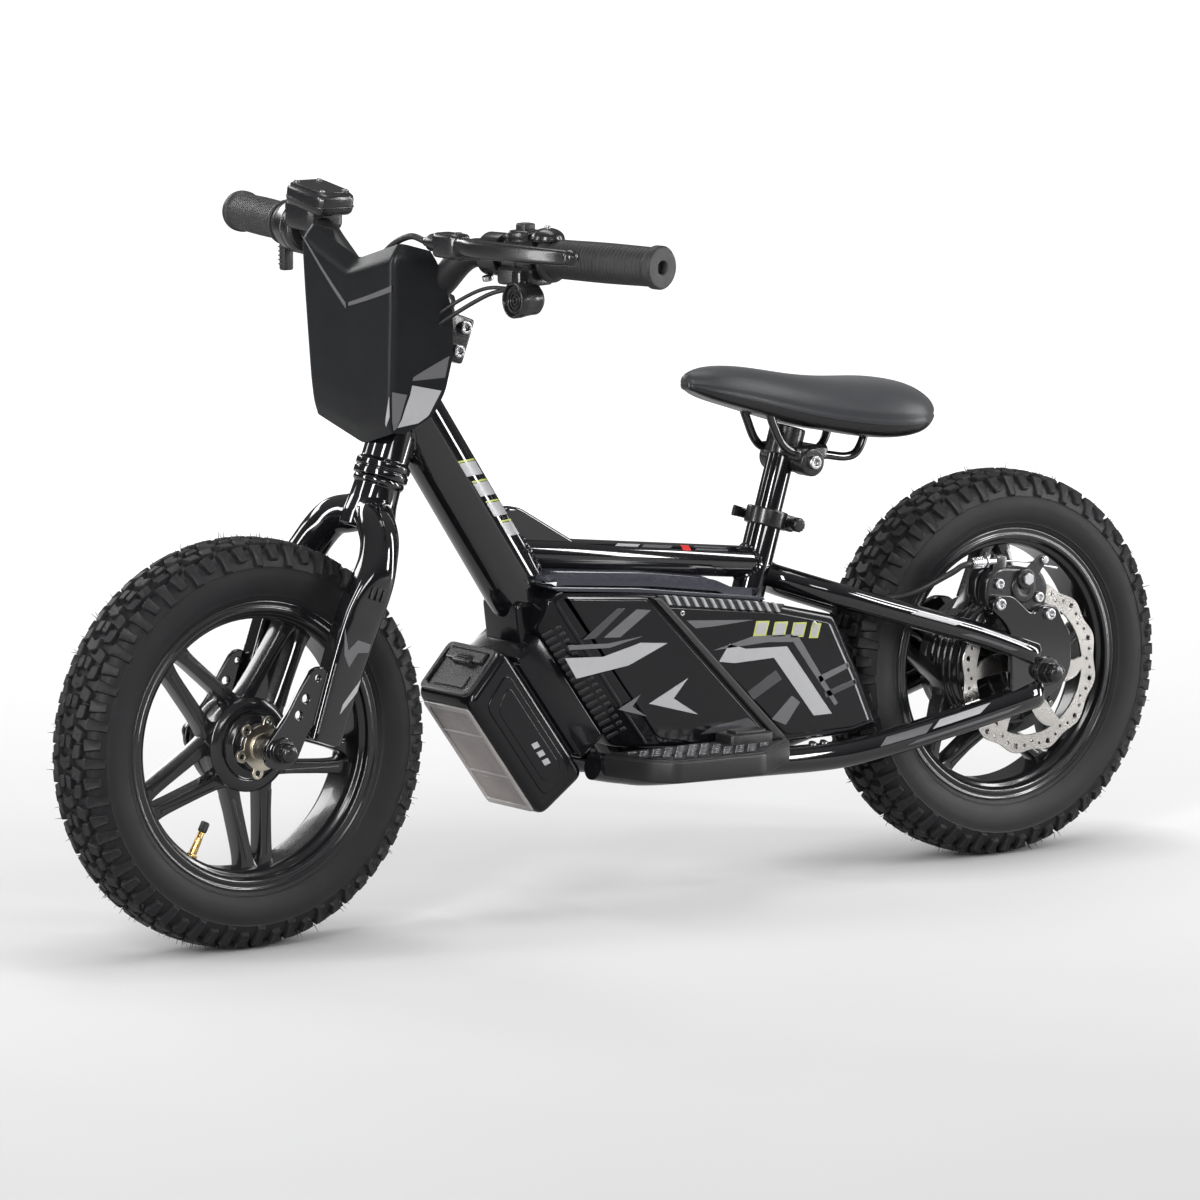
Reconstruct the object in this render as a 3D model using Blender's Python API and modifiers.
"""Electric balance bike for a small child, with 12 inch wheels.

World frame: +Z up, the front of the bike points to -X, its left side faces -Y, and the
origin lies on the ground midway between the two axles. Lengths are in metres.
"""

import math

import bmesh
import bpy
from mathutils import Matrix, Vector

# Driving dimensions

WHEELBASE = 0.730
TYRE_RADIUS = 0.158
TYRE_HALF_WIDTH = 0.0295
TYRE_WALL = 0.0045
BEAD_RADIUS = 0.1095
RIM_HALF_WIDTH = 0.0225
RIM_WALL = 0.003
SPOKE_PAIRS = 5
SPOKE_WIDTH = 0.0095
SPOKE_DEPTH = 0.016
SPOKE_ROOT_TURN = math.radians(31)
SPOKE_TIP_TURN = math.radians(4.5)

AXLE_RADIUS = 0.006
FRONT_HUB_RADIUS = 0.0365
FRONT_HUB_HALF = 0.030
FRONT_AXLE_HALF = 0.074
FRONT_SPOKE_TURN = math.radians(60.6)
REAR_SPOKE_TURN = math.radians(18)
DRUM_RADIUS = 0.056
DRUM_HALF = 0.030
DRUM_WALL = 0.0035
STATOR_RADIUS = 0.046
REAR_AXLE_HALF = 0.092
ROTOR_Y = -0.052
ROTOR_RADIUS = 0.0685
ROTOR_WAVE = 0.0015
ROTOR_THICK = 0.002
ROTOR_BAND = 0.0145
ROTOR_HUB_RADIUS = 0.021
ROTOR_ARMS = 6

STEER_TILT = math.radians(20)
STEER_BASE = Vector((-0.2350, 0.0, 0.3518))
HEAD_LENGTH = 0.090
HEAD_RADIUS = 0.0185
CUP_RADIUS = 0.0215
CUP_HEIGHT = 0.012
STEERER_RADIUS = 0.0143
STEERER_TOP = 0.142
CROWN_TOP_RADIUS = 0.018
CROWN_FOOT_RADIUS = 0.021
CROWN_HEIGHT = 0.042
FORK_TUBE_RADIUS = 0.0150
FORK_OFFSET = 0.053
FORK_BOX_TOP = 0.114
FORK_BOX_FOOT = 0.2095
FORK_BOX_WIDTH = 0.034
FORK_BOX_THICK = 0.020
FORK_PLATE_THICK = 0.005

BAR_RADIUS = 0.011
BAR_END = 0.280
BAR_HEIGHT = 0.534
BAR_SWEEP = math.radians(13)
BAR_END_X = -0.175
BAR_CLAMP_UP = 0.135
BAR_CLAMP_FORWARD = 0.035
GRIP_RADIUS = 0.015
GRIP_LENGTH = 0.1065
GRIP_START = 0.1775
FLANGE_RADIUS = 0.01825
FLANGE_LENGTH = 0.005

DOWN_TUBE_TOP = Vector((-0.2116, 0.0, 0.4110))
DOWN_TUBE_END = Vector((-0.1021, 0.0, 0.2470))
DOWN_TUBE_RADIUS = 0.0245
TOP_TUBE_START = Vector((-0.130, 0.0, 0.2865))
TOP_TUBE_END = Vector((0.127, 0.0, 0.258))
TOP_TUBE_RADIUS = 0.0127
SEAT_POINT = Vector((0.1385, 0.0, 0.298))
SEAT_LEAN = math.radians(17)
SEAT_POST_RADIUS = 0.0111
SEAT_TUBE_RADIUS = SEAT_POST_RADIUS + 0.0024
SEAT_POST_DEPTH = 0.090
SEAT_POST_RISE = 0.068
KEEL_RADIUS = 0.011
CROSS_TUBE_RADIUS = 0.008
FRONT_CROSS = Vector((-0.008, 0.0, 0.1082))
REAR_CROSS_Z = 0.1050
UPPER_STAY_RADIUS = 0.0095
LOWER_STAY_RADIUS = 0.0112
DROPOUT_Y = 0.072
DROPOUT_THICK = 0.006
DROPOUT_FRONT_X = 0.336

SHELL_OUTER_Y = 0.0455
SHELL_WALL = 0.0025
SHELL_SPLIT = 0.0004
COVER_HALF_WIDTH = 0.0405
SHELL_NOSE_Y = 0.030
SHELL_FLARE = 0.066
BATTERY_SEAT = Vector((-0.10256556, 0.0, 0.16068242))
BATTERY_ANGLE = math.radians(54)
BATTERY_LENGTH = 0.126
BATTERY_DEPTH = 0.052
BATTERY_WIDTH = 0.073
BATTERY_SLANT = 0.0055
DOCK_THICK = 0.0310
BATTERY_BEVEL = 0.003
DOCK_HALF_WIDTH = 0.0365
DOCK_LENGTH = 0.106
LATCH_SIZE = Vector((0.022, 0.012, 0.009))
LATCH_TRAVEL = 0.003

RAIL_RADIUS = 0.0035
FOOTREST_TOP = 0.1265
FOOTREST_THICK = 0.018
FOOTREST_INNER = 0.0478

CABLE_RADIUS = 0.0025

# Clearances

GAP = 0.0003
FIT = 0.0005
RUNNING = 0.0015
WHEEL_CLEARANCE = 0.006

# Directions and centres worked out from the driving dimensions

SIDES = {"left": -1, "right": 1}
UP_STEER = Vector((math.sin(STEER_TILT), 0.0, math.cos(STEER_TILT)))
FORWARD_STEER = Vector((-math.cos(STEER_TILT), 0.0, math.sin(STEER_TILT)))
LEFT = Vector((0.0, -1.0, 0.0))
FRONT_AXLE = Vector((-WHEELBASE / 2, 0.0, TYRE_RADIUS))
REAR_AXLE = Vector((WHEELBASE / 2, 0.0, TYRE_RADIUS))
SEAT_UP = Vector((math.sin(SEAT_LEAN), 0.0, math.cos(SEAT_LEAN)))
BATTERY_LONG = Vector((math.cos(BATTERY_ANGLE), 0.0, -math.sin(BATTERY_ANGLE)))
BATTERY_BACK = Vector((math.sin(BATTERY_ANGLE), 0.0, math.cos(BATTERY_ANGLE)))
BATTERY_CENTRE = BATTERY_SEAT - BATTERY_BACK * BATTERY_DEPTH / 2
DOWN_TUBE_RUN = (DOWN_TUBE_END - DOWN_TUBE_TOP).normalized()


def clear_scene():
    for obj in list(bpy.data.objects):
        bpy.data.objects.remove(obj, do_unlink=True)


def collection(name):
    made = bpy.data.collections.new(name)
    bpy.context.scene.collection.children.link(made)
    return made


def material(name, colour, roughness, metallic=0.0):
    made = bpy.data.materials.new(name)
    made.use_nodes = True
    shader = made.node_tree.nodes["Principled BSDF"]
    shader.inputs["Base Color"].default_value = (*colour, 1.0)
    shader.inputs["Roughness"].default_value = roughness
    shader.inputs["Metallic"].default_value = metallic
    return made


clear_scene()
PARTS = collection("kids_electric_bike")
CUTTERS = collection("cutters")

GLOSS_BLACK = (0.012, 0.012, 0.014)
SATIN_BLACK = (0.022, 0.022, 0.024)
RUBBER_BLACK = (0.020, 0.020, 0.021)
PLASTIC_GREY = (0.045, 0.045, 0.050)
STEEL = (0.62, 0.61, 0.59)
BRASS = (0.66, 0.47, 0.20)
SADDLE_GREY = (0.030, 0.031, 0.035)


def place(obj, paint, smooth=True):
    """Puts a part in its collection with its own material, or a shape without paint among the cutters."""
    if paint is None:
        CUTTERS.objects.link(obj)
        obj.hide_render = True
        obj.display_type = "WIRE"
        return obj
    PARTS.objects.link(obj)
    obj.data.materials.append(material(obj.name, *paint))
    if smooth and obj.type == "MESH":
        obj.data.shade_smooth()
        obj.data.set_sharp_from_angle(angle=math.radians(35))
    return obj


def at(point):
    return Matrix.Translation(Vector(point))


def aim(point, direction):
    """A placing matrix whose +Z runs along the direction."""
    return at(point) @ Vector(direction).to_track_quat("Z", "Y").to_matrix().to_4x4()


def axes(origin, x_axis, y_axis, z_axis):
    turn = Matrix((x_axis, y_axis, z_axis)).transposed()
    return at(origin) @ turn.to_4x4()


def side_view(y):
    """An outline drawn as (x, z) stands upright at this y."""
    return at((0.0, y, 0.0)) @ Matrix.Rotation(math.radians(90), 4, "X")


STEER = axes(STEER_BASE, FORWARD_STEER, LEFT, UP_STEER)
BATTERY_SIDE = axes(BATTERY_CENTRE, BATTERY_LONG, BATTERY_BACK, LEFT)


def steer_point(forward, left, up):
    return STEER @ Vector((forward, left, up))


def battery_point(along, y, back):
    """A point this far along the pack towards its foot, at this y, and this far behind its middle."""
    return BATTERY_CENTRE + BATTERY_LONG * along + BATTERY_BACK * back + Vector((0, y, 0))


def mesh_object(name, shape, matrix, paint, smooth=True):
    mesh = bpy.data.meshes.new(name)
    shape.to_mesh(mesh)
    shape.free()
    obj = bpy.data.objects.new(name, mesh)
    obj.matrix_world = matrix
    return place(obj, paint, smooth)


def box(name, size, matrix, paint=None, bevel=0.0, foot=1.0):
    """A box, whose lower end in z is narrowed in x by the factor foot."""
    shape = bmesh.new()
    bmesh.ops.create_cube(shape, size=1.0)
    for corner in shape.verts:
        narrow = foot if corner.co.z < 0 else 1.0
        corner.co.x *= size[0] * narrow
        corner.co.y *= size[1]
        corner.co.z *= size[2]
    obj = mesh_object(name, shape, matrix, paint, smooth=bevel > 0)
    if bevel > 0:
        rounding = obj.modifiers.new("rounding", "BEVEL")
        rounding.width = bevel
        rounding.segments = 2
    return obj


def prism(name, outline, width, matrix, paint=None, bevel=0.0):
    """An outline in local x and y, which runs anticlockwise, with this width in z about the matrix."""
    shape = bmesh.new()
    ends = [[shape.verts.new((x, y, z)) for x, y in outline] for z in (-width / 2, width / 2)]
    shape.faces.new(ends[0][::-1])
    shape.faces.new(ends[1])
    for i in range(len(outline)):
        j = (i + 1) % len(outline)
        shape.faces.new((ends[0][i], ends[0][j], ends[1][j], ends[1][i]))
    obj = mesh_object(name, shape, matrix, paint, smooth=bevel > 0)
    if bevel > 0:
        rounding = obj.modifiers.new("rounding", "BEVEL")
        rounding.width = bevel
        rounding.segments = 2
    return obj


def cylinder(name, radius, length, matrix, paint=None, sides=24, foot_radius=None):
    """A cylinder or cone centred on the matrix, along its z. foot_radius is that of its lower end."""
    shape = bmesh.new()
    bmesh.ops.create_cone(
        shape,
        cap_ends=True,
        segments=sides,
        radius1=radius if foot_radius is None else foot_radius,
        radius2=radius,
        depth=length,
    )
    return mesh_object(name, shape, matrix, paint)


def turned(name, profile, matrix, paint=None, steps=32, ring=False):
    """A profile of (radius, height) points turned about z. It runs down the outer side."""
    mesh = bpy.data.meshes.new(name)
    points = [(radius, 0.0, height) for radius, height in profile]
    edges = [(i, i + 1) for i in range(len(points) - 1)]
    if ring:
        edges.append((len(points) - 1, 0))
    mesh.from_pydata(points, edges, [])
    obj = bpy.data.objects.new(name, mesh)
    obj.matrix_world = matrix
    screw = obj.modifiers.new("turned", "SCREW")
    screw.steps = steps
    screw.render_steps = steps
    screw.use_merge_vertices = True
    screw.merge_threshold = 0.00001
    screw.use_smooth_shade = True
    return place(obj, paint, smooth=False)


def tube(name, points, radius, paint=None, resolution=4):
    curve = bpy.data.curves.new(name, "CURVE")
    curve.dimensions = "3D"
    curve.bevel_depth = radius
    curve.bevel_resolution = resolution
    curve.use_fill_caps = True
    spline = curve.splines.new("POLY")
    spline.points.add(len(points) - 1)
    for knot, point in zip(spline.points, points):
        knot.co = (*point, 1.0)
    return place(bpy.data.objects.new(name, curve), paint)


def plate(name, outlines, thickness, matrix, paint=None):
    """Flat outlines, the first one round the others, with this thickness about the matrix plane."""
    curve = bpy.data.curves.new(name, "CURVE")
    curve.dimensions = "2D"
    curve.fill_mode = "BOTH"
    curve.extrude = thickness / 2
    for outline in outlines:
        spline = curve.splines.new("POLY")
        spline.points.add(len(outline) - 1)
        for knot, (across, along) in zip(spline.points, outline):
            knot.co = (across, along, 0.0, 1.0)
        spline.use_cyclic_u = True
    obj = bpy.data.objects.new(name, curve)
    obj.matrix_world = matrix
    return place(obj, paint)


def as_mesh(obj, paint=None):
    """The curve's evaluated shape as a welded mesh object under the same name."""
    name = obj.name
    bpy.context.view_layer.update()
    graph = bpy.context.evaluated_depsgraph_get()
    mesh = bpy.data.meshes.new_from_object(obj.evaluated_get(graph))
    matrix = obj.matrix_world.copy()
    bpy.data.objects.remove(obj, do_unlink=True)
    mesh.materials.clear()
    shape = bmesh.new()
    shape.from_mesh(mesh)
    bmesh.ops.remove_doubles(shape, verts=shape.verts, dist=0.00001)
    bmesh.ops.recalc_face_normals(shape, faces=shape.faces)
    return mesh_object(name, shape, matrix, paint)


def mesh_tube(name, points, radius, paint=None, resolution=4):
    return as_mesh(tube(name, points, radius, None, resolution), paint)


def mesh_plate(name, outlines, thickness, matrix, paint=None):
    return as_mesh(plate(name, outlines, thickness, matrix), paint)


def boolean(obj, others, operation):
    for other in others:
        change = obj.modifiers.new(other.name, "BOOLEAN")
        change.operation = operation
        change.object = other


def cut(obj, *others):
    boolean(obj, others, "DIFFERENCE")


def join(obj, *others):
    boolean(obj, others, "UNION")


def pivot(name, point, parent=None):
    """An empty on a joint's axis, which carries the pieces that move on it."""
    empty = bpy.data.objects.new(name, None)
    PARTS.objects.link(empty)
    empty.empty_display_size = 0.02
    empty.matrix_world = at(point)
    if parent:
        carry(parent, empty)
    bpy.context.view_layer.update()
    return empty


def carry(parent, *objects):
    for obj in objects:
        obj.parent = parent
        obj.matrix_parent_inverse = parent.matrix_world.inverted()


def smooth_path(points, steps):
    """Points on a smooth curve through the given ones, with this many steps between each two."""
    knots = [Vector(point) for point in points]
    ends = [knots[0] * 2 - knots[1], *knots, knots[-1] * 2 - knots[-2]]
    path = []
    for i in range(1, len(ends) - 2):
        before, start, end, after = ends[i - 1 : i + 3]
        for step in range(steps):
            t = step / steps
            path.append(
                0.5
                * (
                    start * 2
                    + (end - before) * t
                    + (before * 2 - start * 5 + end * 4 - after) * t**2
                    + (start * 3 - before - end * 3 + after) * t**3
                )
            )
    return [*path, knots[-1]]


def circle(centre, radius, count, turn=0.0):
    return [
        (
            centre[0] + radius * math.cos(turn + 2 * math.pi * i / count),
            centre[1] + radius * math.sin(turn + 2 * math.pi * i / count),
        )
        for i in range(count)
    ]


PAINT_FRAME = (GLOSS_BLACK, 0.18, 0.0)
PAINT_CAST = (SATIN_BLACK, 0.35, 0.0)
PAINT_RUBBER = (RUBBER_BLACK, 0.75, 0.0)
PAINT_PLASTIC = (SATIN_BLACK, 0.45, 0.0)
PAINT_GREY = (PLASTIC_GREY, 0.4, 0.0)
PAINT_STEEL = (STEEL, 0.3, 1.0)
PAINT_BRASS = (BRASS, 0.35, 1.0)
PAINT_SADDLE = (SADDLE_GREY, 0.6, 0.0)

# Wheels


def wheel_frame(axle):
    """Local z is the axle, towards the left side of the bike."""
    return axes(axle, Vector((1, 0, 0)), Vector((0, 0, 1)), LEFT)


def tyre(name, axle):
    crown = TYRE_RADIUS
    half = TYRE_HALF_WIDTH
    height = crown - BEAD_RADIUS
    outer = [
        (BEAD_RADIUS, 0.72 * half),
        (BEAD_RADIUS + 0.26 * height, 0.95 * half),
        (BEAD_RADIUS + 0.62 * height, half),
        (crown - 0.08 * height, 0.76 * half),
        (crown, 0.30 * half),
    ]
    outer += [(radius, -z) for radius, z in reversed(outer)]
    inner = [
        (BEAD_RADIUS, -0.72 * half + TYRE_WALL),
        (crown - 2.2 * TYRE_WALL, -0.76 * half),
    ]
    inner += [(radius, -z) for radius, z in reversed(inner)]
    return turned(name, outer + inner, wheel_frame(axle), PAINT_RUBBER, steps=36, ring=True)


def spoke(name, wheel, start, end, depth):
    """A straight arm in the plane of the wheel, from one (radius, angle) to another."""
    first = Vector((start[0] * math.cos(start[1]), start[0] * math.sin(start[1]), 0.0))
    last = Vector((end[0] * math.cos(end[1]), end[0] * math.sin(end[1]), 0.0))
    run = last - first
    centre = wheel @ ((first + last) / 2)
    direction = wheel.to_3x3() @ run
    across = wheel.to_3x3() @ Vector((-run.y, run.x, 0.0)).normalized()
    matrix = axes(centre, across, direction.normalized().cross(across), direction.normalized())
    return box(name, (SPOKE_WIDTH, depth, run.length), matrix)


def casting(name, axle, hub, turn, hub_radius):
    """The rim band, its ten arms in five pairs, and the hub profile, as one cast wheel."""
    wheel = wheel_frame(axle)
    half = RIM_HALF_WIDTH
    seat = BEAD_RADIUS - GAP
    well = seat - 0.0085
    outer = [
        (seat, half),
        (seat, 0.72 * half),
        (well, 0.60 * half),
        (well, -0.60 * half),
        (seat, -0.72 * half),
        (seat, -half),
    ]
    inner = [
        (seat - RIM_WALL, -half),
        (well - RIM_WALL, -0.74 * half),
        (well - RIM_WALL, 0.74 * half),
        (seat - RIM_WALL, half),
    ]
    rim = turned(name, outer + inner, wheel, PAINT_CAST, steps=36, ring=True)
    core = turned(name + "_core", hub, wheel, steps=20, ring=True)
    join(rim, core)
    root = hub_radius - 0.004
    tip = well - RIM_WALL / 2
    for pair in range(SPOKE_PAIRS):
        middle = turn + 2 * math.pi * pair / SPOKE_PAIRS
        for way in (-1, 1):
            arm = spoke(
                f"{name}_arm_{pair}_{way}",
                wheel,
                (root, middle + way * SPOKE_ROOT_TURN),
                (tip, middle + way * SPOKE_TIP_TURN),
                SPOKE_DEPTH,
            )
            join(rim, arm)
    return rim


def valve(name, axle, angle):
    """A stem that stands inwards from the rim."""
    outer = BEAD_RADIUS - 0.0085 - RIM_WALL - 4 * GAP
    length = 0.030
    out = Vector((math.cos(angle), 0.0, math.sin(angle)))
    profile = [(0.0, 0.0), (0.0035, 0.0), (0.0030, -0.020), (0.0026, -length), (0.0, -length)]
    return turned(name, profile, aim(axle + out * outer, out), PAINT_BRASS, steps=12)


steering = pivot("steering_axis", STEER_BASE)
front_spin = pivot("front_wheel_axis", FRONT_AXLE, steering)
rear_spin = pivot("rear_wheel_axis", REAR_AXLE)

BORE = AXLE_RADIUS + RUNNING / 2
FRONT_HUB = [
    (BORE, FRONT_HUB_HALF),
    (0.019, FRONT_HUB_HALF),
    (0.019, 0.019),
    (FRONT_HUB_RADIUS, 0.015),
    (FRONT_HUB_RADIUS, -0.015),
    (0.019, -0.019),
    (0.019, -FRONT_HUB_HALF),
    (BORE, -FRONT_HUB_HALF),
]
front_rim = casting("front_rim", FRONT_AXLE, FRONT_HUB, FRONT_SPOKE_TURN, FRONT_HUB_RADIUS)
front_tyre = tyre("front_tyre", FRONT_AXLE)
front_valve = valve("front_valve", FRONT_AXLE, math.radians(242))

# The six-eared disc that a brake would bolt to sits on the left end of the front hub.
FLANGE_THICK = 0.003
flange = turned(
    "front_hub_flange",
    [(BORE, FLANGE_THICK), (0.0185, FLANGE_THICK), (0.0185, 0.0), (BORE, 0.0)],
    wheel_frame(FRONT_AXLE + LEFT * (FRONT_HUB_HALF + GAP)),
    PAINT_STEEL,
    steps=18,
    ring=True,
)
for ear in range(6):
    angle = math.radians(15 + 60 * ear)
    out = Vector((math.cos(angle), 0.0, math.sin(angle)))
    lug = cylinder(
        f"flange_ear_{ear}",
        0.0048,
        FLANGE_THICK,
        aim(FRONT_AXLE + LEFT * (FRONT_HUB_HALF + GAP + FLANGE_THICK / 2) + out * 0.0195, LEFT),
        sides=8,
    )
    join(flange, lug)
carry(front_spin, front_rim, front_tyre, front_valve, flange)

# The rear hub is the motor: a drum open on its left side, closed by the cover that bears the brake disc.
DRUM = [
    (DRUM_RADIUS - DRUM_WALL, DRUM_HALF),
    (DRUM_RADIUS, DRUM_HALF),
    (DRUM_RADIUS, 0.4 * -DRUM_HALF),
    (0.86 * DRUM_RADIUS, -DRUM_HALF),
    (0.030, -DRUM_HALF - 0.004),
    (0.022, -0.048),
    (BORE, -0.048),
    (BORE, -DRUM_HALF + DRUM_WALL),
    (DRUM_RADIUS - DRUM_WALL, -DRUM_HALF + DRUM_WALL),
]
rear_rim = casting("rear_rim", REAR_AXLE, DRUM, REAR_SPOKE_TURN, DRUM_RADIUS)
rear_tyre = tyre("rear_tyre", REAR_AXLE)
ROTOR_NEAR = -ROTOR_Y - ROTOR_THICK / 2
cover = turned(
    "motor_cover",
    [
        (BORE, ROTOR_NEAR - GAP),
        (ROTOR_HUB_RADIUS, ROTOR_NEAR - GAP),
        (ROTOR_HUB_RADIUS, ROTOR_NEAR - 0.010),
        (0.8 * DRUM_RADIUS, DRUM_HALF + GAP + 0.004),
        (DRUM_RADIUS, DRUM_HALF + GAP + 0.001),
        (DRUM_RADIUS, DRUM_HALF + GAP),
        (BORE, DRUM_HALF + GAP),
    ],
    wheel_frame(REAR_AXLE),
    PAINT_CAST,
    steps=24,
    ring=True,
)


def rotor_outlines():
    """The wavy rim, the centre bore and the windows between the arms."""
    waves = 12
    steps = 4
    rim = []
    for i in range(waves * steps):
        angle = 2 * math.pi * i / (waves * steps)
        radius = ROTOR_RADIUS + ROTOR_WAVE * math.cos(waves * angle - math.radians(216))
        rim.append((radius * math.cos(angle), radius * math.sin(angle)))
    band = ROTOR_RADIUS - ROTOR_BAND
    outlines = [rim, circle((0, 0), BORE, 16)]
    for arm in range(ROTOR_ARMS):
        start = 2 * math.pi * arm / ROTOR_ARMS
        sweep = 2 * math.pi / ROTOR_ARMS
        window = []
        for share in (0.10, 0.37, 0.63, 0.90):
            angle = start + sweep * share
            window.append((band * math.cos(angle), band * math.sin(angle)))
        for share in (0.70, 0.50, 0.30):
            angle = start + sweep * (share - 0.25)
            radius = ROTOR_HUB_RADIUS + 0.002
            window.append((radius * math.cos(angle), radius * math.sin(angle)))
        outlines.append(window)
    return outlines


rotor = plate(
    "brake_rotor", rotor_outlines(), ROTOR_THICK, wheel_frame(REAR_AXLE + LEFT * -ROTOR_Y), PAINT_STEEL
)
carry(rear_spin, rear_rim, rear_tyre, cover, rotor)

stator = turned(
    "motor_stator",
    [
        (AXLE_RADIUS + GAP, 0.020),
        (STATOR_RADIUS, 0.020),
        (STATOR_RADIUS, -0.020),
        (AXLE_RADIUS + GAP, -0.020),
    ],
    wheel_frame(REAR_AXLE),
    PAINT_STEEL,
    steps=20,
    ring=True,
)


def axle_with_nuts(name, centre, half, seat, nut_radius, washer_radius):
    """A shaft whose ends each bear a washer that lies on its seat and a domed nut."""
    side = [
        (0.0, half),
        (0.6 * nut_radius, half - 0.001),
        (nut_radius, half - 0.004),
        (nut_radius, seat + GAP + 0.0025),
        (washer_radius, seat + GAP + 0.0025),
        (washer_radius, seat + GAP),
        (AXLE_RADIUS, seat + GAP),
    ]
    profile = side + [(radius, -z) for radius, z in reversed(side)]
    return turned(name, profile, wheel_frame(centre), PAINT_CAST, steps=12)


REAR_SEAT = DROPOUT_Y + DROPOUT_THICK / 2
rear_axle = axle_with_nuts("rear_axle", REAR_AXLE, REAR_AXLE_HALF, REAR_SEAT, 0.0078, 0.0115)
FRONT_SEAT = FORK_OFFSET + 0.003 + FORK_PLATE_THICK / 2
front_axle = axle_with_nuts("front_axle", FRONT_AXLE, FRONT_AXLE_HALF, FRONT_SEAT, 0.0080, 0.0095)

# Frame

head_tube = turned(
    "head_tube",
    [
        (CUP_RADIUS, HEAD_LENGTH),
        (CUP_RADIUS, HEAD_LENGTH - CUP_HEIGHT),
        (HEAD_RADIUS, HEAD_LENGTH - CUP_HEIGHT - 0.002),
        (HEAD_RADIUS, CUP_HEIGHT + 0.002),
        (CUP_RADIUS, CUP_HEIGHT),
        (CUP_RADIUS, 0.0),
        (STEERER_RADIUS + FIT, 0.0),
        (STEERER_RADIUS + FIT, HEAD_LENGTH),
    ],
    aim(STEER_BASE, UP_STEER),
    PAINT_FRAME,
    steps=20,
    ring=True,
)
head_cutter = cylinder(
    "head_cutter",
    HEAD_RADIUS + GAP,
    2 * HEAD_LENGTH,
    aim(STEER_BASE + UP_STEER * HEAD_LENGTH / 2, UP_STEER),
    sides=32,
)
upper_cup_cutter = cylinder(
    "upper_cup_cutter",
    CUP_RADIUS + GAP,
    CUP_HEIGHT + 0.004,
    aim(STEER_BASE + UP_STEER * (HEAD_LENGTH - CUP_HEIGHT / 2), UP_STEER),
    sides=32,
)
lower_cup_clear = cylinder(
    "lower_cup_clear",
    CUP_RADIUS + GAP,
    CUP_HEIGHT + 0.004,
    aim(STEER_BASE + UP_STEER * CUP_HEIGHT / 2, UP_STEER),
    sides=32,
)


def cone_between(name, start, end, start_radius, end_radius, paint=None, sides=28):
    run = end - start
    return cylinder(
        name, start_radius, run.length, aim((start + end) / 2, -run), paint, sides, end_radius
    )


down_tube = cone_between(
    "down_tube",
    DOWN_TUBE_TOP,
    DOWN_TUBE_END,
    DOWN_TUBE_RADIUS,
    DOWN_TUBE_RADIUS,
    PAINT_FRAME,
)
cut(down_tube, head_cutter, upper_cup_cutter, lower_cup_clear)
down_tube_cutter = cone_between(
    "down_tube_cutter",
    DOWN_TUBE_TOP,
    DOWN_TUBE_END + DOWN_TUBE_RUN * GAP,
    DOWN_TUBE_RADIUS + GAP,
    DOWN_TUBE_RADIUS + GAP,
)

SEAT_TUBE_TOP = SEAT_POINT
SEAT_FOOT_Z = REAR_CROSS_Z + CROSS_TUBE_RADIUS + GAP + 0.0005
SEAT_TUBE_FOOT = SEAT_POINT + SEAT_UP * ((SEAT_FOOT_Z + 0.0045 - SEAT_POINT.z) / SEAT_UP.z)
SEAT_TUBE_LENGTH = (SEAT_TUBE_TOP - SEAT_TUBE_FOOT).length
REAR_CROSS = Vector((SEAT_TUBE_FOOT.x - 0.0015, 0.0, REAR_CROSS_Z))
seat_tube = turned(
    "seat_tube",
    [
        (0.0, 0.030),
        (SEAT_POST_RADIUS + GAP, 0.030),
        (SEAT_POST_RADIUS + GAP, SEAT_TUBE_LENGTH),
        (SEAT_TUBE_RADIUS, SEAT_TUBE_LENGTH),
        (SEAT_TUBE_RADIUS, 0.0),
        (0.0, 0.0),
    ],
    aim(SEAT_TUBE_FOOT, SEAT_UP),
    PAINT_FRAME,
    steps=28,
)
seat_tube_cutter = cylinder(
    "seat_tube_cutter",
    SEAT_TUBE_RADIUS + GAP,
    SEAT_TUBE_LENGTH + 0.02,
    aim((SEAT_TUBE_TOP + SEAT_TUBE_FOOT) / 2, SEAT_UP),
    sides=28,
)

top_tube = cone_between(
    "top_tube", TOP_TUBE_START, TOP_TUBE_END, TOP_TUBE_RADIUS, TOP_TUBE_RADIUS, PAINT_FRAME, 24
)
gusset = mesh_plate(
    "gusset",
    [[(-0.109, 0.322), (-0.044, 0.280), (-0.044, 0.270), (-0.122, 0.278)]],
    0.012,
    side_view(0.0),
)
join(top_tube, gusset)
cut(top_tube, down_tube_cutter, seat_tube_cutter)
top_tube_cutter = cone_between(
    "top_tube_cutter", TOP_TUBE_START, TOP_TUBE_END, TOP_TUBE_RADIUS + GAP, TOP_TUBE_RADIUS + GAP
)

KEEL_TOP = DOWN_TUBE_END + DOWN_TUBE_RUN * GAP
KEEL_FOOT = Vector((FRONT_CROSS.x, 0.0, FRONT_CROSS.z + 0.002))
keel_tube = cone_between("keel_tube", KEEL_TOP, KEEL_FOOT, KEEL_RADIUS, KEEL_RADIUS, PAINT_FRAME, 20)
keel_cutter = cone_between("keel_cutter", KEEL_TOP, KEEL_FOOT, KEEL_RADIUS + GAP, KEEL_RADIUS + GAP)
end_cutter = box(
    "down_tube_end_cutter",
    (0.05, 0.06, 0.02),
    aim(DOWN_TUBE_END - DOWN_TUBE_RUN * (0.01 - GAP), DOWN_TUBE_RUN),
)
cut(keel_tube, end_cutter)


def stay_path(side, knots):
    return smooth_path([(x, side * y, z) for x, y, z in knots], 2)


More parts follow.
